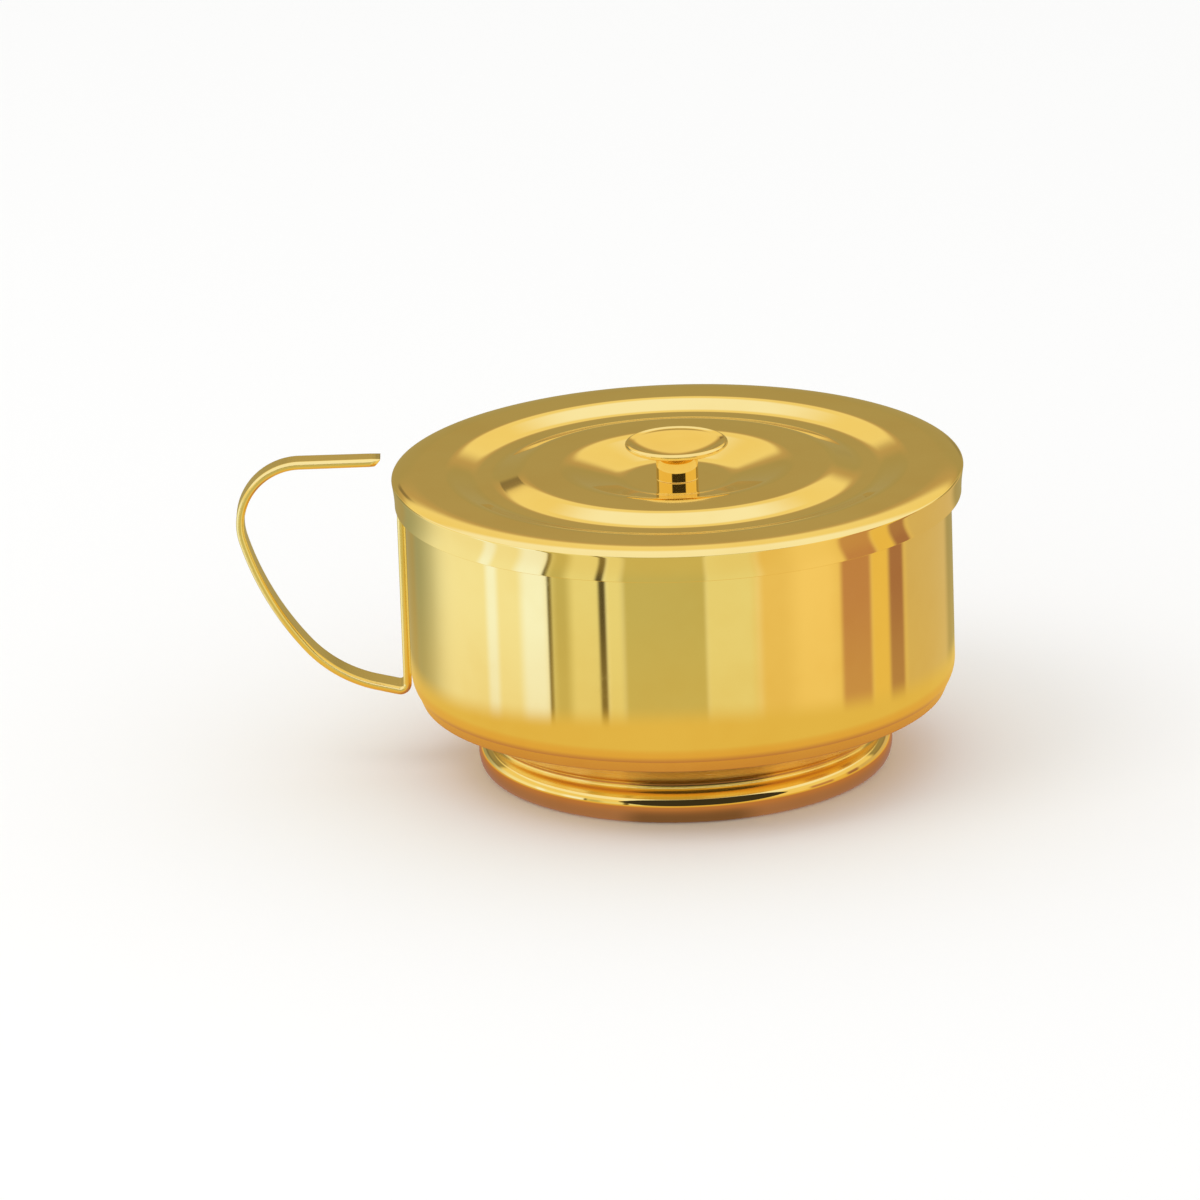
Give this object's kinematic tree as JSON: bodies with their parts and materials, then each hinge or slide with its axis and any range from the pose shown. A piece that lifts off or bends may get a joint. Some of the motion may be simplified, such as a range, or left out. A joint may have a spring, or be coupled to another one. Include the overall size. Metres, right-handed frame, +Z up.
{
  "type": "stacking ciborium",
  "caption": "Shallow round lidded bowl on a low flared foot, with a lift-off lid, a central knob and a hooked flat strap handle, for holding altar breads.",
  "frame": {"origin": "bottom centre of the whole outline, handle included, on the plane that the foot stands on", "axes": "+Z up along the vessel's turned axis, which stands at X 19.2 mm; the handle reaches to -X; -Y is the front"},
  "size_m": [0.1783, 0.14, 0.0818],
  "materials": {
    "gold_plate": "mirror-polished gold plate on brass",
    "warm_gold_plate": "mirror-polished gold plate, spun and turned pieces",
    "fixing_brass": "satin brass"
  },
  "bodies": {
    "vessel": {"bowl": "gold_plate", "foot_ring": "warm_gold_plate", "handle": "gold_plate"},
    "cover": {"lid": "gold_plate", "knob": "warm_gold_plate", "knob_screw": "fixing_brass", "screw_washer": "fixing_brass"}
  },
  "joints": [
    {"name": "lid_lift", "type": "slide", "parent": "vessel", "child": "cover", "axis": [0, 0, 1], "range_m": [0, 0.11]}
  ]
}
